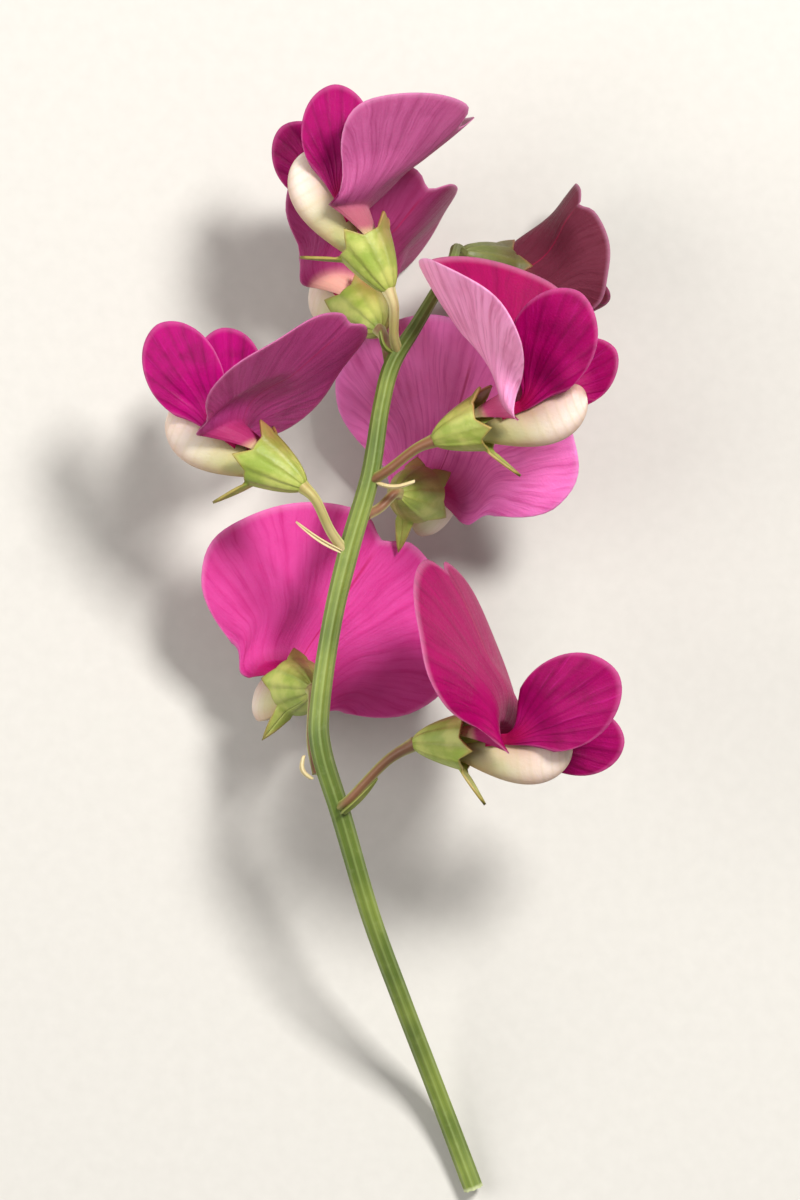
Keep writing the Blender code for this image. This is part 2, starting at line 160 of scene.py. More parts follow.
def standard_form(u, t, flower):
    """Points of the standard, u from its right margin -1 to its left margin 1, t from base to edge."""
    k = np.clip(t / CLAW_SHARE, 0, 1)
    wrap = np.radians(u * (CLAW_WRAP + (MOUTH_WRAP - CLAW_WRAP) * k))
    claw_end = CLAW_TO - flower.get("drawn_in", 0) + flower.get("auricle", AURICLE) * u**2
    wide = CLAW_RADIUS + CLAW_OPENING * k
    high = CLAW_RADIUS + CLAW_RISE * k
    middle = CLAW_MIDDLE - CLAW_SINK * k
    onward = CLAW_FROM + (claw_end - CLAW_FROM) * k
    claw = np.stack([onward, wide * np.sin(wrap), middle + high * np.cos(wrap)], -1)

    angle = np.abs(u) * BLADE_FAN
    s = np.clip((t - CLAW_SHARE) / (1 - CLAW_SHARE), 0, 1)
    reach = s * blade_edge(angle, flower["size"], flower.get("notch", 0.1), flower.get("narrow", 0.5))
    across = reach * np.sin(np.radians(angle))
    along = reach * np.cos(np.radians(angle))
    fold = np.where(u > 0, flower["fold_left"], flower["fold_right"])
    curl = np.where(u > 0, 0, flower.get("curl_right", 0))
    sideways, forwards = turned(across, fold, flower.get("soft", 1.5), curl)
    ahead = np.zeros_like(along)
    up = np.zeros_like(along)
    for step in range(STEPS):
        lean = np.radians(flower["reflex"] + flower.get("arch", 0) * along * (step + 0.5) / STEPS)
        ahead = ahead + np.cos(lean) * along / STEPS
        up = up + np.sin(lean) * along / STEPS
    lean = np.radians(flower["reflex"] + flower.get("arch", 0) * along)
    joint = BLADE_JOINT[0] - flower.get("drawn_in", 0)
    wave = MARGIN_WAVE * s**3 * np.sin(MARGIN_WAVES * u + 2 * fold)
    blade = np.stack(
        [
            joint + ahead + forwards * np.sin(lean) + wave,
            np.sign(u) * sideways,
            BLADE_JOINT[1] + up - forwards * np.cos(lean),
        ],
        -1,
    )
    wrap = np.radians(u * MOUTH_WRAP)
    spread = BLADE_SPREAD * reach
    mouth = np.stack(
        [
            claw_end + BLADE_ONWARD * reach,
            (CLAW_RADIUS + CLAW_OPENING + spread) * np.sin(wrap),
            CLAW_MIDDLE - CLAW_SINK + (CLAW_RADIUS + CLAW_RISE + spread) * np.cos(wrap),
        ],
        -1,
    )
    blend = ease(reach / BLADE_BLEND)[..., None]
    return np.where((t <= CLAW_SHARE)[..., None], claw, mouth + (blade - mouth) * blend)


def wing_form(u, t, flower, side):
    """Points of a wing, u from its lower margin -1 to its upper margin 1, t from heel to edge."""
    name = "left" if side > 0 else "right"
    k = np.clip(t / WING_SHARE, 0, 1)
    root = np.array(WING_ROOT)
    heel = np.array(WING_HEEL)
    claw = root + (heel - root) * k[..., None]
    claw[..., 2] += u * WING_ROOT_HEIGHT
    s = np.clip((t - WING_SHARE) / (1 - WING_SHARE), 0, 1)
    reach = s * WING_REACH * flower["wing_" + name] * (1 - WING_NARROWING * np.abs(u) ** 1.7)
    angle = np.radians(flower["lift_" + name] + u * WING_FAN)
    ahead = reach * np.cos(angle)
    up = reach * np.sin(angle)
    lean = np.radians(WING_LEAN)
    flare = np.radians(flower.get("flare_" + name, WING_FLARE))
    far, begin, over = WING_STANDOFF
    out = np.abs(up) * np.sin(lean) + ahead * np.sin(flare) + far * ease((reach - begin) / over)
    blade = np.stack([heel[0] + ahead * np.cos(flare), heel[1] + out, heel[2] + up * np.cos(lean)], -1)
    onward, outward = WING_START
    start = np.stack(
        [
            heel[0] + onward * reach * np.cos(angle / 2),
            heel[1] + outward * reach,
            heel[2] + u * WING_ROOT_HEIGHT + onward * reach * np.sin(angle / 2),
        ],
        -1,
    )
    blend = ease(reach / WING_BLEND)[..., None]
    points = np.where((t <= WING_SHARE)[..., None], claw, start + (blade - start) * blend)
    return points * np.array([1, side, 1])


def keel_form(k, turn):
    """Points of the keel, k from its claw 0 to its nose 1, turn in radians round it from the top."""
    # Half its height, its middle line and half its width: they swell from the claw and close at the nose
    half = (0.5 + 4.5 * k**1.2) * (1 - k) ** 0.43
    middle = -0.35 - 0.7 * k * (1 - k) + 0.85 * k**4
    wide = np.minimum((0.4 + 3.3 * k**1.2) * np.sqrt(1 - k), KEEL_WIDTH)
    x = KEEL_FROM + (KEEL_TO - KEEL_FROM) * k
    y = wide * np.sin(turn) * (0.85 + 0.15 * np.cos(turn))
    return np.stack([x, y, middle + half * np.cos(turn)], -1)


def calyx_form(turn, s):
    """Points of the calyx, turn in degrees round it from the upper side, s from base 0 to rim 1."""
    body = np.clip(s / TUBE_SHARE, 0, 1)
    tip = np.clip((s - TUBE_SHARE) / (1 - TUBE_SHARE), 0, 1)
    longest = np.full_like(turn, RIM)
    lean = np.full_like(turn, RIM_LEAN)
    for place, half_width, length, outward in TEETH:
        away = np.abs((turn - place + 180) % 360 - 180)
        tooth = length * np.clip(1 - away / half_width, 0, 1) ** 1.25
        lean = np.where(tooth > longest, outward, lean)
        longest = np.maximum(longest, tooth)
    lean = np.radians(lean)
    radius = TUBE_RADIUS * body**0.6 + tip * longest * np.sin(lean)
    x = TUBE_LENGTH * body**1.15 + tip * longest * np.cos(lean)
    middle = TUBE_LIFT * body**0.7
    turn = np.radians(turn)
    return np.stack([x, radius * np.sin(turn), middle + radius * np.cos(turn)], -1)


# The eight flowers from the lowest up: where the calyx starts, which way the flower points and which
# way its standard stands. `fold` is how far each half of the standard turns forwards from the
# midrib and `soft` over what width it does so, `curl` how much further it turns with each
# millimetre, `reflex` how far the blade stands back from its claw and `arch` how much further with
# each millimetre. `narrow` trims the lower margins, `drawn_in` shortens the claw and `auricle` is
# how far the claw's sides run on. `lift` is how steeply a wing rises, `flare` how far it spreads.
FLOWERS = {
    1: {
        "base": (1.0, -11.4, 20.0),
        "forward": (0.95, -0.08, 0.30),
        "dorsal": (0.05, 0.99, 0.0),
        "fold_left": -10,
        "fold_right": 0,
        "curl_right": -2,
        "narrow": 0.7,
        "reflex": 107,
        "arch": 1.5,
        "size": 1.06,
        "lift_left": 3,
        "lift_right": 33,
        "wing_left": 0.84,
        "wing_right": 1.1,
    },
    2: {
        "base": (-7.0, -7.2, 14.0),
        "forward": (-0.33, -0.05, -0.94),
        "dorsal": (0.52, 0.85, 0.0),
        "fold_left": 5,
        "fold_right": 5,
        "reflex": 110,
        "size": 1.03,
        "lift_left": 50,
        "lift_right": 50,
        "wing_left": 0.85,
        "wing_right": 0.75,
    },
    3: {
        "base": (-7.6, 9.0, 20.0),
        "forward": (-0.82, 0.41, -0.34),
        "dorsal": (0.43, 0.9, 0.0),
        "fold_left": 0,
        "fold_right": 3,
        "reflex": 113,
        "size": 0.93,
        "lift_left": 34,
        "lift_right": 53,
        "wing_left": 0.95,
        "wing_right": 0.93,
        "notch": 0.05,
    },
    4: {
        "base": (2.6, 12.7, 20.0),
        "forward": (0.92, 0.22, 0.30),
        "dorsal": (-0.2, 0.97, 0.0),
        "fold_left": 42,
        "fold_right": 42,
        "reflex": 113,
        "soft": 1.6,
        "size": 0.94,
        "lift_left": 20,
        "lift_right": 45,
        "wing_left": 0.78,
        "wing_right": 1.06,
        "drawn_in": 0.7,
    },
    5: {
        "base": (-0.2, 8.6, 14.4),
        "forward": (0.30, -0.12, -0.95),
        "dorsal": (0.42, 0.90, 0.0),
        "fold_left": 5,
        "fold_right": 5,
        "reflex": 113,
        "size": 1.0,
        "lift_left": 50,
        "lift_right": 50,
        "wing_left": 0.8,
        "wing_right": 0.85,
    },
    6: {
        "base": (-0.8, 24.6, 20.0),
        "forward": (-0.55, 0.8, -0.16),
        "dorsal": (0.8, 0.6, 0.0),
        "fold_left": 48,
        "fold_right": 35,
        "soft": 2.0,
        "reflex": 86,
        "notch": 0.16,
        "size": 0.85,
        "lift_left": 32,
        "lift_right": -4,
        "wing_left": 0.88,
        "wing_right": 0.85,
        "flare_right": 8,
        "flare_left": 2,
        "narrow": 0.85,
        "auricle": 1.2,
        "drawn_in": 0.6,
    },
    7: {
        "base": (-1.6, 21.7, 12.0),
        "forward": (-0.4, 0.3, -0.86),
        "dorsal": (0.42, 0.9, 0.0),
        "fold_left": 30,
        "fold_right": 50,
        "reflex": 110,
        "size": 0.82,
        "lift_left": 45,
        "lift_right": 45,
        "wing_left": 0.85,
        "wing_right": 0.72,
    },
    8: {
        "base": (5.0, 27.9, 11.3),
        "forward": (0.48, -0.36, -0.8),
        "dorsal": (0.78, 0.6, 0.1),
        "fold_left": 70,
        "fold_right": 30,
        "soft": 2.5,
        "reflex": 108,
        "size": 0.6,
        "lift_left": 42,
        "lift_right": 42,
        "wing_left": 0.72,
        "wing_right": 0.68,
    },
}

# Points of the stem and its radius there, from the cut end to the tip of the rachis, which carries the
# last flower
STEM = (
    (6.0, -48.0, 0.0, 0.95),
    (4.2, -43.2, 0.7, 0.92),
    (2.4, -38.4, 2.6, 0.88),
    (0.0, -32.0, 7.4, 0.84),
    (-2.4, -25.3, 11.8, 0.8),
    (-4.7, -17.3, 15.4, 0.8),
    (-6.3, -12.0, 16.8, 0.82),
    (-6.4, -8.4, 17.0, 0.78),
    (-5.4, -1.6, 17.0, 0.76),
    (-4.0, 4.3, 17.0, 0.8),
    (-2.4, 9.9, 17.0, 0.74),
    (-1.5, 15.5, 17.0, 0.66),
    (-0.6, 18.9, 17.0, 0.66),
    (1.2, 21.8, 17.0, 0.54),
    (3.2, 25.2, 16.4, 0.46),
    (4.2, 27.2, 14.8, 0.42),
)
STEM_RIBS = 8
STEM_RIB_DEPTH = 0.045
STEM_SIDES = 96
# The peduncle slims towards its cut end: by which share, below which y and over what length
SLIMMING = 0.18
SLIMMING_FROM = -14
SLIMMING_OVER = 30

# Where each pedicel leaves the stem and how it bends; it ends in the calyx of its flower
PEDICELS = {
    1: ((-4.9, -16.6, 15.8), (-4.0, -15.9, 17.6), (-2.2, -14.4, 18.8)),
    2: ((-6.6, -13.9, 15.9), (-7.1, -11.2, 15.3), (-7.3, -8.6, 15.2)),
    3: ((-4.5, 4.0, 17.2), (-5.6, 5.6, 18.4), (-6.7, 7.4, 19.6)),
    4: ((-2.2, 9.6, 17.2), (-0.9, 10.4, 18.4), (0.8, 11.6, 19.3)),
    5: ((-2.7, 6.8, 16.6), (-1.6, 7.4, 15.8), (-0.5, 8.3, 15.3)),
    6: ((-0.2, 20.0, 17.2), (-0.5, 21.2, 18.6), (-0.7, 22.9, 19.7)),
    7: ((-0.8, 18.2, 16.5), (-0.9, 19.1, 15.4), (-1.3, 20.5, 13.6)),
}
PEDICEL_RADIUS = 0.42
PEDICEL_RIBS = 4
PEDICEL_RIB_DEPTH = 0.07
PEDICEL_SIDES = 32
SUNK_INTO_CALYX = 0.25
# Pedicels of one colour: name, flowers, ground, pale and flush colour, how far the flush covers them
PEDICEL_COLOURS = (
    ("reddish_pedicels", (1, 2, 4, 5, 7), "96a04c", "bcbc78", "7a3630", 0.85),
    ("pale_pedicels", (3, 6), "b4b868", "d8d49c", "a0583c", 0.35),
)

# Small pointed bracts at the feet of the pedicels: foot, tip, which way the blade faces, half width,
# how far it arches and whether it is still green
BRACTS = {
    1: ((-4.7, -17.0, 16.9), (-1.9, -14.1, 18.5), (0.6, -0.7, 0.4), 0.4, 0.15, "green"),
    2: ((-6.9, -14.3, 16.2), (-7.6, -12.4, 16.4), (-1.0, 0.0, 0.3), 0.3, 0.5, "dry"),
    3: ((-4.6, 3.9, 17.4), (-8.3, 6.3, 18.2), (0.3, -0.6, 0.8), 0.14, 0.5, "dry"),
    4: ((-2.1, 9.6, 17.2), (1.2, 9.6, 18.0), (0.1, -0.9, 0.5), 0.13, 0.5, "dry"),
    6: ((-0.3, 19.8, 17.0), (-1.5, 21.6, 17.9), (-0.8, -0.3, 0.6), 0.2, 0.5, "green"),
}
BRACT_THICKNESS = 0.16
BRACT_GRID = (12, 24)

# Petal colours of each flower: outer face, inner face, veins and foot of the standard, face and veins
# of the wings. Some also carry painted light and shade: the outer faces of flowers 4 and 5 are painted
# lighter, as in full sun, and flower 7's standard and all of flower 8 are painted darker, as in shade.
COLOURS = {
    1: {"standard": ("bc2c80", "9c0056", "600030", "98205a"), "wing": ("980058", "600030")},
    2: {"standard": ("cc4490", "b00a68", "8c0a50", "a01458"), "wing": ("900858", "600034")},
    3: {"standard": ("b44484", "7c084a", "68083e", "a02c60"), "wing": ("a80068", "640034")},
    # Painted light: the outer faces of flowers 4 and 5 are painted lighter, as in full sun
    4: {"standard": ("f4a0ca", "98004e", "6c0038", "c04c78"), "wing": ("9c0058", "600030")},
    5: {"standard": ("f47cc4", "b01070", "b41c70", "b03470"), "wing": ("900858", "600034")},
    6: {"standard": ("b05484", "740844", "680a3c", "b06070"), "wing": ("9c005c", "5c0030")},
    # Painted shade: flower 7's standard and all of flower 8's petals are painted darker, as in shade
    7: {"standard": ("a03c70", "800c44", "600830", "dca090"), "wing": ("90144c", "60042c")},
    8: {"standard": ("6e2c3e", "581828", "40101c", "6c3830"), "wing": ("64182c", "440818")},
}
# What both kinds of petal share: light that scatters just below their face and little shine, the scale
# of the cells, strength and depth of the relief
PETAL_LOOK = {"Subsurface_Scale": 0.0006, "Specular_IOR_Level": 0.12}
PETAL_CELLS = 5200.0
PETAL_RELIEF = (0.5, 0.00012)
STANDARD_VEINS = 75.0
FINE_VEINS = 190.0
WING_VEINS = 60.0
# What the calyx and the stalks share
GREEN_LOOK = {"Subsurface_Radius": (0.5, 0.7, 0.2), "Subsurface_Scale": 0.0006}

# Metres along the stem from its cut end: where the rachis darkens to its tip, and how deep the pale cut
# face goes
TIP_FROM, TIP_TO = 0.082, 0.087
CUT_FROM, CUT_TO = 0.0004, 0.0001

# Floor, light and camera are in metres. Each lamp has its place, side and power
FLOOR_HALF = 1.5
ROOM_LIGHT = 0.28
LIGHT_TARGET = (0, 0.01, 0.015)
LAMPS = {
    "key_light": ((0.2, 0.24, 0.48), 0.12, 4.0),
    "fill_light": ((-0.42, 0.05, 0.36), 0.4, 1.8),
}
# The camera looks straight down and at the height of the flowers sees VIEW_LENGTH from edge to edge
CAMERA_HEIGHT = 0.9
FLOWER_HEIGHT = 0.018
VIEW_LENGTH = 0.096
SENSOR = 36


def smooth_path(points, between):
    """The points with `between` steps of a smooth curve from each to the next."""
    points = np.array(points, float)
    ends = np.vstack([2 * points[0] - points[1], points, 2 * points[-1] - points[-2]])
    out = []
    for i in range(len(points) - 1):
        a, b, c, d = ends[i : i + 4]
        for step in range(between):
            t = step / between
            out.append(0.5 * (2 * b + (c - a) * t + (2 * a - 5 * b + 4 * c - d) * t**2
                              + (3 * b - a - 3 * c + d) * t**3))
    out.append(points[-1])
    return np.array(out)


class Value:
    """A socket that carries a number or a colour, so that shader maths reads as an expression."""

    def __init__(self, finish, socket):
        self.finish = finish
        self.socket = socket

    def math(self, operation, *others):
        return self.finish.node("ShaderNodeMath", {"operation": operation}, self, *others)

    def __add__(self, other):
        return self.math("ADD", other)

    __radd__ = __add__

    def __sub__(self, other):
        return self.math("SUBTRACT", other)

    def __mul__(self, other):
        return self.math("MULTIPLY", other)

    def __pow__(self, other):
        return self.math("POWER", other)

    def sine(self):
        return self.math("SINE")

    def size(self):
        return self.math("ABSOLUTE")

    def rise(self, low, high):
        """0 below low, 1 above high, smooth between; the other way round where high is below low."""
        settings = {"interpolation_type": "SMOOTHSTEP"}
        if low < high:
            return self.finish.node("ShaderNodeMapRange", settings, self, low, high, 0.0, 1.0)
        return self.finish.node("ShaderNodeMapRange", settings, self, high, low, 1.0, 0.0)


class Finish:
    """A material being mixed: the nodes that colour one kind of surface."""

    def __init__(self, name, roughness=0.5, **constants):
        self.material = bpy.data.materials.new(name)
        self.material.use_nodes = True
        self.tree = self.material.node_tree
        self.shader = self.tree.nodes["Principled BSDF"]
        self.set("Roughness", roughness)
        for key, value in constants.items():
            self.set(key.replace("_", " "), value)

    def feed(self, target, value):
        """A constant goes on the socket itself, a Value is linked to it."""
        if isinstance(value, Value):
            self.tree.links.new(value.socket, target)
        else:
            target.default_value = value

    def set(self, socket, value):
        self.feed(self.shader.inputs[socket], value)

    def node(self, kind, settings, *values, out=0, **named):
        """A node with its settings, its first inputs in order and others by name."""
        made = self.tree.nodes.new(kind)
        for key, value in settings.items():
            setattr(made, key, value)
        for target, value in zip(made.inputs, values):
            self.feed(target, value)
        for key, value in named.items():
            self.feed(made.inputs[key], value)
        return Value(self, made.outputs[out])

    def attribute(self, name):
        return self.node("ShaderNodeAttribute", {"attribute_name": name}, out=2)

    def across_and_along(self):
        """Where a point lies on its own surface: 0 to 1 from side to side and from foot to edge."""
        place = self.node("ShaderNodeUVMap", {"uv_map": "petal"})
        return (
            self.node("ShaderNodeSeparateXYZ", {}, place, out=0),
            self.node("ShaderNodeSeparateXYZ", {}, place, out=1),
        )

    def point(self, x, y, z=0.0):
        return self.node("ShaderNodeCombineXYZ", {}, x, y, z)

    def noise(self, scale, detail=2.0, at=None):
        if at is None:
            at = self.node("ShaderNodeTexCoord", {}, out=3)
        return self.node("ShaderNodeTexNoise", {}, Vector=at, Scale=scale, Detail=detail)

    def mix(self, share, first, second):
        made = self.tree.nodes.new("ShaderNodeMix")
        made.data_type = "RGBA"
        for index, value in ((0, share), (6, first), (7, second)):
            self.feed(made.inputs[index], value)
        return Value(self, made.outputs[2])

    def cells(self, scale, least, span):
        """Roughness that changes from cell to cell; gives back the cells for the relief."""
        cells = self.noise(scale)
        self.set("Roughness", least + cells * span)
        return cells

    def bump(self, height, strength, distance):
        relief = self.node("ShaderNodeBump", {}, Height=height, Strength=strength, Distance=distance)
        self.set("Normal", relief)


def shade(code):
    """A colour written as six hex digits, as the shader wants it."""
    parts = [int(code[i : i + 2], 16) / 255 for i in (0, 2, 4)]
    return (*(c / 12.92 if c <= 0.04045 else ((c + 0.055) / 1.055) ** 2.4 for c in parts), 1.0)


def standard_finish(number, outer, inner, base, foot):
    """Petal of the standard: veins that fan out from the claw, a sparkle of cells, a pale margin that is
    partly painted light.
    """
    paint = Finish(
        f"standard_{number}", Subsurface_Weight=0.25, Subsurface_Radius=(0.8, 0.3, 0.5), **PETAL_LOOK
    )
    across, along = paint.across_and_along()
    inside = paint.attribute("inner")
    wander = paint.noise(3.0, 2.0, paint.point(across * 3.0, along * 1.2, number * 3.1))
    place = across + (wander - 0.5) * 0.03
    streak = paint.noise(1.0, 2.0, paint.point(place * 130.0, along * 5.0, number * 1.7))
    coarse = (place * STANDARD_VEINS).sine() * 0.5 + 0.5
    fine = (place * FINE_VEINS + along * 3.0).sine() * 0.5 + 0.5
    veins = (coarse**5) * 0.55 + (fine**3) * along.rise(0.35, 0.7) * 0.4
    blotch = paint.noise(420.0, 3.0)
    ground = paint.mix(inside, shade(outer), shade(inner))
    deep = paint.mix(inside, shade(inner), shade(base))
    colour = paint.mix(veins * 0.32 + streak.rise(0.45, 0.75) * 0.3, ground, deep)
    colour = paint.mix(blotch.rise(0.45, 0.8) * 0.22 + along.rise(0.6, 0.2) * 0.3, colour, deep)
    midrib = (across - 0.5).size().rise(0.006, 0.001) * along.rise(0.98, 0.8)
    colour = paint.mix(midrib * 0.6, colour, shade("a80c44"))
    # Pale margin: partly the petal's own paler edge, partly painted light where the thin edge glows
    edge = (along.rise(0.955, 1.0) + (across - 0.5).size().rise(0.475, 0.5)).math("MINIMUM", 1.0)
    colour = paint.mix(edge * 0.22, colour, shade("eeb4d4"))
    colour = paint.mix(along.rise(0.3, 0.16), colour, shade(foot))
    colour = paint.mix(along.rise(0.1, 0.02), colour, shade("d9c890"))
    paint.set("Base Color", colour)
    cells = paint.cells(PETAL_CELLS, 0.3, 0.35)
    paint.bump(veins * 0.6 + streak * 0.5 + cells * 0.5, *PETAL_RELIEF)
    return paint.material


def wing_finish(number, colour, base):
    """Petal of a wing: deeper colour, a redder foot, a pale lower rim that is partly painted light."""
    paint = Finish(
        f"wing_{number}", Subsurface_Weight=0.2, Subsurface_Radius=(0.8, 0.25, 0.5), **PETAL_LOOK
    )
    across, along = paint.across_and_along()
    wander = paint.noise(3.0, 2.0, paint.point(across * 3.0, along * 1.2, number * 5.3))
    place = across + (wander - 0.5) * 0.04
    veins = ((place * WING_VEINS).sine() * 0.5 + 0.5) ** 4
    streak = paint.noise(1.0, 2.0, paint.point(place * 60.0, along * 4.0, number * 2.3))
    blotch = paint.noise(500.0, 3.0)
    ground = paint.mix(veins * 0.25 + blotch.rise(0.4, 0.75) * 0.4, shade(colour), shade(base))
    ground = paint.mix(streak.rise(0.55, 0.8) * 0.25, ground, shade("cc2090"))
    # Pale rim: partly the petal's own paler edge, partly painted light where the thin edge glows
    edge = (along.rise(0.95, 1.0) + across.rise(0.06, 0.0)).math("MINIMUM", 1.0)
    ground = paint.mix(edge * 0.2, ground, shade("e88cc0"))
    ground = paint.mix(along.rise(0.45, 0.2) * 0.8, ground, shade("b0104c"))
    paint.set("Base Color", ground)
    cells = paint.cells(PETAL_CELLS, 0.32, 0.35)
    paint.bump(veins * 0.5 + streak * 0.6 + cells * 0.5, *PETAL_RELIEF)
    return paint.material


def keel_finish():
    """Cream boat, greener at its foot, with pink-brown painted shade along its back and its lower edge.
    """
    paint = Finish(
        "keel", Subsurface_Weight=0.3, Subsurface_Radius=(0.9, 0.7, 0.4), Subsurface_Scale=0.0008
    )
    round_it, along = paint.across_and_along()
    blotch = paint.noise(380.0, 3.0)
    colour = paint.mix(along.rise(0.1, 0.55), shade("b0ac70"), shade("e8d6c8"))
    # Painted shade: pink-brown along the back of the keel, where the wings cover it
    colour = paint.mix(round_it.rise(0.16, 0.4) * 0.75 * along.rise(0.0, 0.4), colour, shade("a86c64"))
    colour = paint.mix(blotch.rise(0.45, 0.75) * 0.35, colour, shade("d0a48c"))
    lines = ((along * 70.0 + round_it * 9.0).sine() * 0.5 + 0.5) ** 4
    colour = paint.mix(lines * 0.15, colour, shade("bfae72"))
    # Painted shade: pink-brown along the lower edge of the keel
    colour = paint.mix(round_it.rise(0.18, 0.02) * 0.5, colour, shade("b08064"))
    paint.set("Base Color", colour)
    cells = paint.cells(4800.0, 0.3, 0.3)
    paint.bump(lines * 0.3 + cells * 0.6, 0.4, 0.0001)
    return paint.material


def calyx_finish(name, green, pale, flush_colour):
    """Yellow-green bell with ribs that run into the teeth, red-brown on its upper side."""
    paint = Finish(name, Subsurface_Weight=0.12, **GREEN_LOOK)
    round_it, along = paint.across_and_along()
    back = (round_it - 0.5).size()
    blotch = paint.noise(520.0, 3.0)
    wander = paint.noise(4.0, 2.0, paint.point(round_it * 6.0, along * 2.0))
    ribs = (((round_it + (wander - 0.5) * 0.02) * 2 * pi * CALYX_RIBS).sine() * 0.5 + 0.5) ** 3
    colour = paint.mix(blotch.rise(0.35, 0.7), shade(green), shade(pale))
    flush = back.rise(0.22, 0.06) * along.rise(0.2, 0.8) * (0.25 + blotch * 0.8)
    colour = paint.mix(flush.math("MINIMUM", 0.75), colour, shade(flush_colour))
    colour = paint.mix(ribs * 0.28, colour, shade("74722a"))
    colour = paint.mix(along.rise(0.9, 1.0) * 0.45, colour, shade("9a5a3a"))
    paint.set("Base Color", colour)
    cells = paint.cells(4200.0, 0.36, 0.3)
    paint.bump(ribs * 0.9 + cells * 0.4, 0.5, 0.00014)
    return paint.material


def stalk_finish(name, ground, pale, flush=None, red=0.0):
    """Ribbed green stalk with pale ribs, partly painted highlight, and furrows darkened with painted
    shade.

    A stalk with a flush is red-brown on its upper side; the stem, which has none, gets its cut face
    and the darker tip of its rachis."""
    paint = Finish(name, Subsurface_Weight=0.1, **GREEN_LOOK)
    rib = paint.attribute("rib")
    long_noise = paint.noise(160.0, 3.0)
    spots = paint.noise(1500.0, 3.0)
    colour = paint.mix(long_noise.rise(0.35, 0.7), shade(ground), shade(pale))
    # Pale ribs: partly their own paler colour, partly painted highlight
    colour = paint.mix(rib.rise(0.35, 0.95) * 0.2, colour, shade("b0c47c"))
    # Painted shade: the furrows between the ribs are darkened
    colour = paint.mix(rib.rise(-0.3, -1.0) * 0.28, colour, shade("4c6a1e"))
    if flush is None:
        along = paint.attribute("along")
        colour = paint.mix(along.rise(TIP_FROM, TIP_TO), colour, shade("5a5c2a"))
        colour = paint.mix(along.rise(CUT_FROM, CUT_TO) * 0.7, colour, shade("ccd2a0"))
    else:
        top = paint.attribute("upper")
        covered = top.rise(-0.1, 0.9) * red + spots.rise(0.5, 0.8) * 0.25
        colour = paint.mix(covered.math("MINIMUM", 0.85), colour, shade(flush))
    colour = paint.mix(spots.rise(0.55, 0.8) * 0.06, colour, shade("dfe6b4"))
    paint.set("Base Color", colour)
    cells = paint.cells(3800.0, 0.38, 0.3)
    paint.bump(spots * 0.4 + cells * 0.5, 0.35, 0.0001)
    return paint.material


def flower_matrix(flower):
    """Turns a flower's own millimetres into the frame's."""
    forward = Vector(flower["forward"]).normalized()
    dorsal = Vector(flower["dorsal"])
    dorsal = (dorsal - forward * dorsal.dot(forward)).normalized()
    left = dorsal.cross(forward)
    return np.array([forward, left, dorsal]), np.array(flower["base"])


def placed(points, flower=None):
    """Points in the frame, in metres, from a flower's own millimetres or from the raceme's."""
    if flower is not None:
        turn, base = flower_matrix(flower)
        points = points @ turn + base
    return (points + MOVED) * MM


def facing(points):
    """The surface's normals at each point of a grid."""
    down = np.gradient(points, axis=0)
    over = np.gradient(points, axis=1)
    normal = np.cross(down, over)
    return normal / np.maximum(np.linalg.norm(normal, axis=-1, keepdims=True), 1e-9)


def link(name, data):
    """An object at the origin that shows the data."""
    piece = bpy.data.objects.new(name, data)
    bpy.context.scene.collection.objects.link(piece)
    return piece


def mesh_piece(name, vertices, faces, material, across, along, **attributes):
    """A smooth mesh with its place from side to side and from foot to edge as its map."""
    mesh = bpy.data.meshes.new(name)
    mesh.from_pydata(vertices.tolist(), [], faces.tolist())
    mesh.materials.append(material)
    layer = mesh.uv_layers.new(name="petal")
    loops = np.empty(len(mesh.loops), np.int32)
    mesh.loops.foreach_get("vertex_index", loops)
    layer.data.foreach_set("uv", np.stack([across, along], -1)[loops].ravel().astype(np.float32))
    for key, values in attributes.items():
        mesh.attributes.new(key, "FLOAT", "POINT").data.foreach_set("value", values.astype(np.float32))
    mesh.shade_smooth()
    return link(name, mesh)


def quads(columns, rows):
    """The faces of a grid whose points run row after row in each column."""
    i = np.arange(columns)[:, None] * (rows + 1) + np.arange(rows)[None, :]
    return np.stack([i, i + rows + 1, i + rows + 2, i + 1], -1).reshape(-1, 4)


def leaf(name, form, size, thickness, outward, material, flower=None, relief=None, thin=0.72):
    """A thin blade from form(u, t), thinner at its margins by the share `thin`.

    Its outer face looks towards `outward` at its middle near the foot."""
    columns, rows = size
    u, t = np.meshgrid(np.linspace(-1, 1, columns + 1), np.linspace(0, 1, rows + 1), indexing="ij")
    points = form(u, t)
    normal = facing(points)
    middle = normal[columns // 2, max(rows // 8, 1)]
    flip = middle @ np.array(outward) < 0
    if flip:
        normal = -normal
    if relief is not None:
        points = points + normal * relief(u, t)[..., None]
        normal = facing(points) * (-1 if flip else 1)
    edge = np.maximum(np.abs(u), 2 * np.abs(t - 0.5)) ** 7
    half = normal * (thickness / 2 * (1 - thin * edge))[..., None]
    layers = np.concatenate([(points + half).reshape(-1, 3), (points - half).reshape(-1, 3)])
    face = quads(columns, rows)
    count = (columns + 1) * (rows + 1)
    if flip:
        face = face[:, ::-1]
    index = np.arange(count).reshape(columns + 1, rows + 1)
    rim = np.concatenate([index[:, 0], index[-1, 1:], index[-2::-1, -1], index[0, -2::-1]])
    side = np.stack([rim[:-1], rim[1:], rim[1:] + count, rim[:-1] + count], -1)
    if not flip:
        side = side[:, ::-1]
    faces = np.concatenate([face, face[:, ::-1] + count, side])
    inner = np.repeat([0.0, 1.0], count)
    across = np.tile((u.ravel() + 1) / 2, 2)
    along = np.tile(t.ravel(), 2)
    return mesh_piece(name, placed(layers, flower), faces, material, across, along, inner=inner)


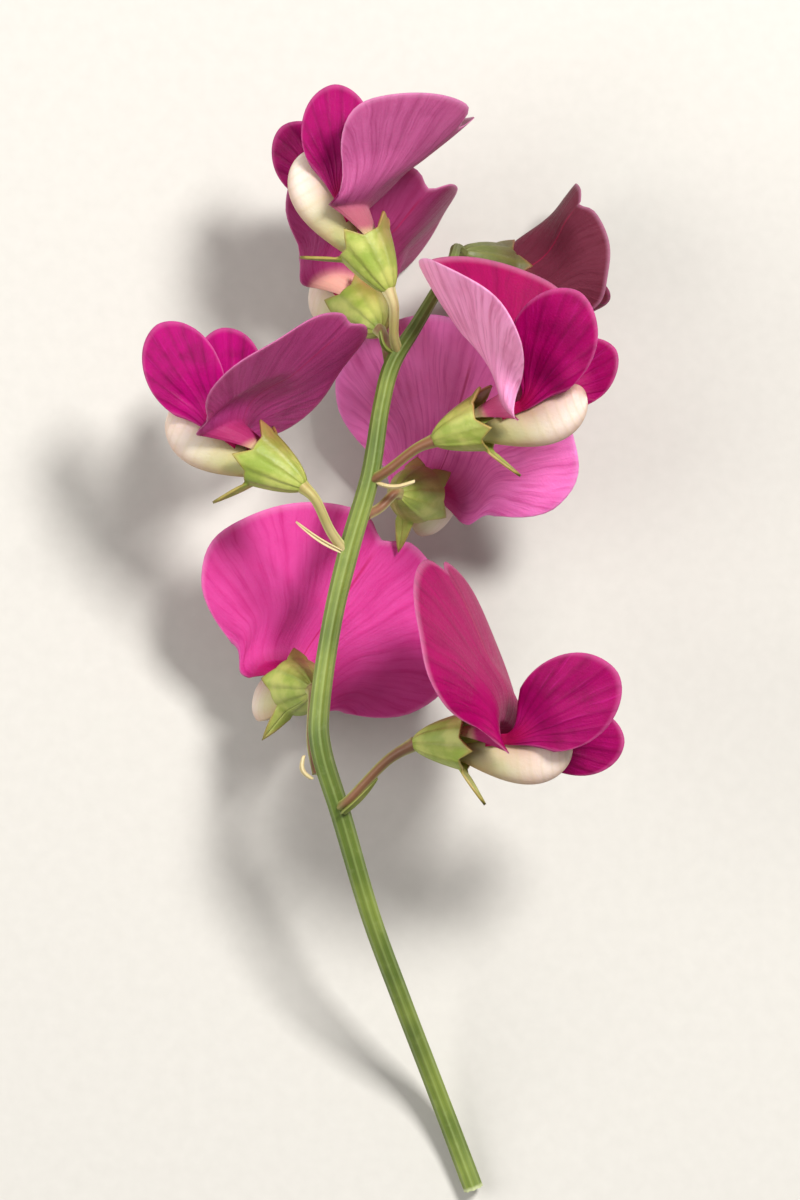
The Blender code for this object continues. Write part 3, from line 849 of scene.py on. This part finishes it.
def ripples(seed, across, along, depth):
    """A seeded relief of soft wrinkles that run mostly along the petal."""
    draw = np.random.default_rng(seed)
    limits = ((0.5, 1.0), (2, across), (0.5, along), (0, 2 * pi))
    waves = [[draw.uniform(low, high) for low, high in limits] for _ in range(WRINKLE_WAVES)]

    def relief(u, t):
        total = sum(a * np.sin(p * u * pi + q * t * pi + r) for a, p, q, r in waves)
        return depth * total / 3 * ease((t - 0.2) / 0.3)

    return relief


def make_standard(number, flower):
    material = standard_finish(number, *flower["standard"])
    piece = leaf(
        f"standard_petal_{number}",
        lambda u, t: standard_form(u, t, flower),
        STANDARD_GRID,
        PETAL,
        (0, 0, 1),
        material,
        flower,
        ripples(number, 5, 3, STANDARD_WRINKLES),
    )
    finish_piece(piece, "standard", f"standard_{number}")


def make_wing(number, flower, side):
    which = "left" if side > 0 else "right"
    piece = leaf(
        f"wing_petal_{which}_{number}",
        lambda u, t: wing_form(u, t, flower, side),
        WING_GRID,
        PETAL,
        (0, side, 0),
        wing_finish(number * 2 + (side > 0), *flower["wing"]),
        flower,
        ripples(20 + number * 2 + side, 4, 3, WING_WRINKLES),
    )
    finish_piece(piece, "wing", f"wing_{which}_{number}")


def closed_tube(name, points, material, flower):
    """A closed body from rings of points whose first and last ring shrink to a point."""
    rings, sides = points.shape[:2]
    face = []
    for j in range(rings - 1):
        for i in range(sides):
            k = (i + 1) % sides
            face.append((j * sides + i, j * sides + k, (j + 1) * sides + k, (j + 1) * sides + i))
    share = np.linspace(0, 1, rings)[:, None] * np.ones(sides)
    around = np.ones(rings)[:, None] * np.abs(np.linspace(-1, 1, sides + 1)[:-1]) / 2
    place = placed(points.reshape(-1, 3), flower)
    piece = mesh_piece(name, place, np.array(face), material, around.ravel(), share.ravel())
    close_up(piece)
    return piece


def close_up(piece):
    """Welds seams and poles and turns every face outwards."""
    grid = bmesh.new()
    grid.from_mesh(piece.data)
    bmesh.ops.remove_doubles(grid, verts=grid.verts, dist=1e-7)
    bmesh.ops.recalc_face_normals(grid, faces=grid.faces)
    grid.to_mesh(piece.data)
    grid.free()


def make_keel(number, flower, material):
    rings, sides = KEEL_GRID
    share = np.linspace(0, 1, rings)
    k = np.clip(1 - (1 - share) ** 2, 0, 1)[:, None] * np.ones(sides)
    turn = np.ones(rings)[:, None] * np.linspace(0, 2 * pi, sides + 1)[:-1]
    points = keel_form(k, turn)
    # The fold where the two petals meet along the back, and the seam below
    fold = np.exp(-((np.minimum(turn, 2 * pi - turn) / 0.16) ** 2))
    points[..., 2] -= KEEL_FOLD_DEPTH * fold * np.sin(pi * k)
    seam = np.exp(-(((turn - pi) / 0.12) ** 2))
    points[..., 2] -= KEEL_SEAM_DEPTH * seam * np.sin(pi * k)
    piece = closed_tube(f"keel_petals_{number}", points, material, flower)
    finish_piece(piece, "keel", f"keel_{number}")


def make_calyx(number, flower, material):
    def bell(u, t):
        return calyx_form(u * 180, t)

    def ribs(u, t):
        return CALYX_RIB_DEPTH * np.cos(CALYX_RIBS * pi * (u + 1)) * np.sin(pi * np.clip(t, 0, 1))

    name = f"calyx_bell_{number}"
    piece = leaf(name, bell, CALYX_GRID, CALYX_WALL, (0, 0, 1), material, flower, ribs, thin=0.0)
    close_up(piece)
    finish_piece(piece, "calyx", f"calyx_{number}")


def stalk_tree():
    """Geometry nodes that sweep a ribbed section along a curve, with what the finish needs to know."""
    tree = bpy.data.node_groups.new("ribbed_stalk", "GeometryNodeTree")
    sockets = {}
    for name, kind in (
        ("Path", "NodeSocketGeometry"),
        ("Ribs", "NodeSocketInt"),
        ("Rib depth", "NodeSocketFloat"),
        ("Sides", "NodeSocketInt"),
        ("Finish", "NodeSocketMaterial"),
    ):
        sockets[name] = tree.interface.new_socket(name, in_out="INPUT", socket_type=kind).identifier
    tree.interface.new_socket("Stalk", in_out="OUTPUT", socket_type="NodeSocketGeometry")
    given = tree.nodes.new("NodeGroupInput")
    result = tree.nodes.new("NodeGroupOutput")

    def node(kind, settings=(), **inputs):
        made = tree.nodes.new(kind)
        for key, value in dict(settings).items():
            setattr(made, key, value)
        for key, value in inputs.items():
            target = made.inputs[int(key[1:])] if key[0] == "_" else made.inputs[key.replace("_", " ")]
            if isinstance(value, bpy.types.NodeSocket):
                tree.links.new(value, target)
            else:
                target.default_value = value
        return made.outputs

    def maths(operation, first, second=0.0):
        return node("ShaderNodeMath", {"operation": operation}, _0=first, _1=second)[0]

    def stored(geometry, name, value):
        return node(
            "GeometryNodeStoreNamedAttribute",
            {"data_type": "FLOAT", "domain": "POINT"},
            Geometry=geometry,
            Name=name,
            Value=value,
        )[0]

    def named(name):
        return node("GeometryNodeInputNamedAttribute", {"data_type": "FLOAT"}, Name=name)[0]

    path = stored(given.outputs["Path"], "thick", node("GeometryNodeInputRadius")[0])
    path = stored(path, "along", node("GeometryNodeSplineParameter")[1])
    circle = node(
        "GeometryNodeCurvePrimitiveCircle",
        {"mode": "RADIUS"},
        Resolution=given.outputs["Sides"],
        Radius=1.0,
    )[0]
    turn = maths("MULTIPLY", node("GeometryNodeSplineParameter")[0], 2 * pi)
    circle = stored(circle, "rib", maths("COSINE", maths("MULTIPLY", turn, given.outputs["Ribs"])))
    thick = node("GeometryNodeInputRadius")[0]
    swept = node(
        "GeometryNodeCurveToMesh", Curve=path, Profile_Curve=circle, Scale=thick, Fill_Caps=True
    )[0]
    rib = maths("MULTIPLY", named("rib"), given.outputs["Rib depth"])
    lift = maths("MULTIPLY", rib, named("thick"))
    normal = node("GeometryNodeInputNormal")[0]
    swept = stored(swept, "upper", node("ShaderNodeSeparateXYZ", (), Vector=normal)[2])
    offset = node("ShaderNodeVectorMath", {"operation": "SCALE"}, Vector=normal, Scale=lift)[0]
    shaped = node("GeometryNodeSetPosition", Geometry=swept, Offset=offset)[0]
    smooth = node("GeometryNodeSetShadeSmooth", Geometry=shaped)[0]
    whole = node("GeometryNodeRealizeInstances", Geometry=smooth)[0]
    done = node("GeometryNodeSetMaterial", Geometry=whole, Material=given.outputs["Finish"])[0]
    tree.links.new(done, result.inputs[0])
    return tree, sockets


def make_stalks(name, routes, tree, sockets, section, material):
    """One piece from several routes, each with its points and, in the fourth column, its radius."""
    curve = bpy.data.curves.new(name, "CURVE")
    curve.dimensions = "3D"
    for route in routes:
        spline = curve.splines.new("POLY")
        spline.points.add(len(route) - 1)
        for point, row in zip(spline.points, route):
            point.co = (*((row[:3] + MOVED) * MM), 1)
            point.radius = row[3] * MM
    holder = link(name + "_path", curve)
    sweep = holder.modifiers.new("ribbed stalk", "NODES")
    sweep.node_group = tree
    for key, value in zip(("Ribs", "Rib depth", "Sides", "Finish"), (*section, material)):
        sweep[sockets[key]] = value
    graph = bpy.context.evaluated_depsgraph_get()
    mesh = bpy.data.meshes.new_from_object(holder.evaluated_get(graph))
    bpy.data.objects.remove(holder)
    piece = link(name, mesh)
    close_up(piece)
    return piece


def finish_piece(piece, slot, *nodes):
    """Fastens the piece to the part, in place of the nodes that it dresses."""
    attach(piece, "root")
    if nodes:
        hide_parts(*nodes)


def unit(vector):
    vector = np.array(vector, float)
    return vector / np.linalg.norm(vector)


def calyx_foot(number):
    """Where a flower's calyx starts and which way it points."""
    return np.array(FLOWERS[number]["base"]), unit(FLOWERS[number]["forward"])


def pedicel_route(number, points):
    """A smooth path from the stem into the calyx, a little wider at both ends."""
    base, into = calyx_foot(number)
    bend = (np.array(points[-1]) + base - into) / 2
    path = smooth_path([*points[:-1], bend, base + into * SUNK_INTO_CALYX], 7)
    swell = np.linspace(0, 1, len(path))
    radii = PEDICEL_RADIUS * (1.0 - 0.12 * np.sin(pi * swell) + 0.35 * swell**6)
    return np.column_stack([path, radii])


def make_stem(tree, sockets):
    base, into = calyx_foot(8)
    last = [(*(base - into), PEDICEL_RADIUS), (*(base + into * SUNK_INTO_CALYX), 0.5)]
    rows = smooth_path([*STEM, *last], 6)
    rows[:, 3] *= 1 - SLIMMING * ease((SLIMMING_FROM - rows[:, 1]) / SLIMMING_OVER)
    material = stalk_finish("stem", "566820", "7e8c38")
    section = (STEM_RIBS, STEM_RIB_DEPTH, STEM_SIDES)
    piece = make_stalks("ribbed_stem", [rows], tree, sockets, section, material)
    finish_piece(piece, "stem", "raceme_axis")
    section = (PEDICEL_RIBS, PEDICEL_RIB_DEPTH, PEDICEL_SIDES)
    for name, numbers, *colours in PEDICEL_COLOURS:
        material = stalk_finish(name, *colours)
        routes = [pedicel_route(number, PEDICELS[number]) for number in numbers]
        piece = make_stalks(name, routes, tree, sockets, section, material)
        finish_piece(piece, "stem")


def make_bracts():
    finishes = {
        "green": stalk_finish("green_bract", "707c30", "98984c", "7c4c2c", 0.5),
        "dry": stalk_finish("dry_bract", "c4b07c", "dccca0", "9a6444", 0.3),
    }
    for number, (foot, tip, face, half_width, arch, kind) in BRACTS.items():
        foot = np.array(foot, float)
        along = np.array(tip) - foot
        face = np.array(face, float)
        face = unit(face - along * (face @ along) / (along @ along))
        across = unit(np.cross(along, face))

        def blade(u, t):
            wide = half_width * np.sin(pi * np.clip(0.25 + 0.75 * t, 0, 1)) ** 0.8 + 0.02
            lift = arch * np.sin(pi * t) + 0.25 * u**2
            sideways = across * (u * wide)[..., None]
            return foot + along * t[..., None] + sideways + face * lift[..., None]

        piece = leaf(f"bract_{number}", blade, BRACT_GRID, BRACT_THICKNESS, face, finishes[kind])
        finish_piece(piece, "stem")


def make_stage():
    mesh = bpy.data.meshes.new("floor")
    side = FLOOR_HALF
    corners = [(-side, -side, 0), (side, -side, 0), (side, side, 0), (-side, side, 0)]
    mesh.from_pydata(corners, [], [(0, 1, 2, 3)])
    floor = link("floor", mesh)
    paper = Finish("pale_floor", 0.85)
    grain = paper.noise(900.0, 4.0)
    paper.set("Base Color", paper.mix(grain, shade("c6c2ba"), shade("cecac2")))
    mesh.materials.append(paper.material)


def make_lamp(name, place, side, power):
    light = bpy.data.lights.new(name, "AREA")
    light.size = side
    light.energy = power
    lamp = link(name, light)
    lamp.location = place
    lamp.rotation_euler = (Vector(LIGHT_TARGET) - Vector(place)).to_track_quat("-Z", "Y").to_euler()


def make_light_and_camera():
    world = bpy.data.worlds.new("soft_room")
    world.use_nodes = True
    background = world.node_tree.nodes["Background"]
    background.inputs["Color"].default_value = (1, 1, 1, 1)
    background.inputs["Strength"].default_value = ROOM_LIGHT
    bpy.context.scene.world = world
    for name, lamp in LAMPS.items():
        make_lamp(name, *lamp)
    bpy.context.scene.view_settings.view_transform = "Standard"

    lens = bpy.data.cameras.new("camera")
    lens.sensor_width = SENSOR
    lens.lens = SENSOR * (CAMERA_HEIGHT - FLOWER_HEIGHT) / VIEW_LENGTH
    camera = link("camera", lens)
    camera.location = (MOVED[0] * MM, MOVED[1] * MM, CAMERA_HEIGHT)
    bpy.context.scene.camera = camera


def main():
    for number, colours in COLOURS.items():
        FLOWERS[number].update(colours)
    keel = keel_finish()
    calyx = calyx_finish("calyx", "8c9e3a", "b6ba60", "8c4c34")
    # Painted shade: flower 8's calyx gets a darker, browner copy of the calyx finish, as if it lay in
    # shade
    shaded_calyx = calyx_finish("calyx_8", "565e26", "6c7038", "503820")
    tree, sockets = stalk_tree()
    make_stem(tree, sockets)
    make_bracts()
    for number, flower in FLOWERS.items():
        make_calyx(number, flower, shaded_calyx if number == 8 else calyx)
        make_standard(number, flower)
        make_wing(number, flower, 1)
        make_wing(number, flower, -1)
        make_keel(number, flower, keel)
    make_stage()
    make_light_and_camera()


main()
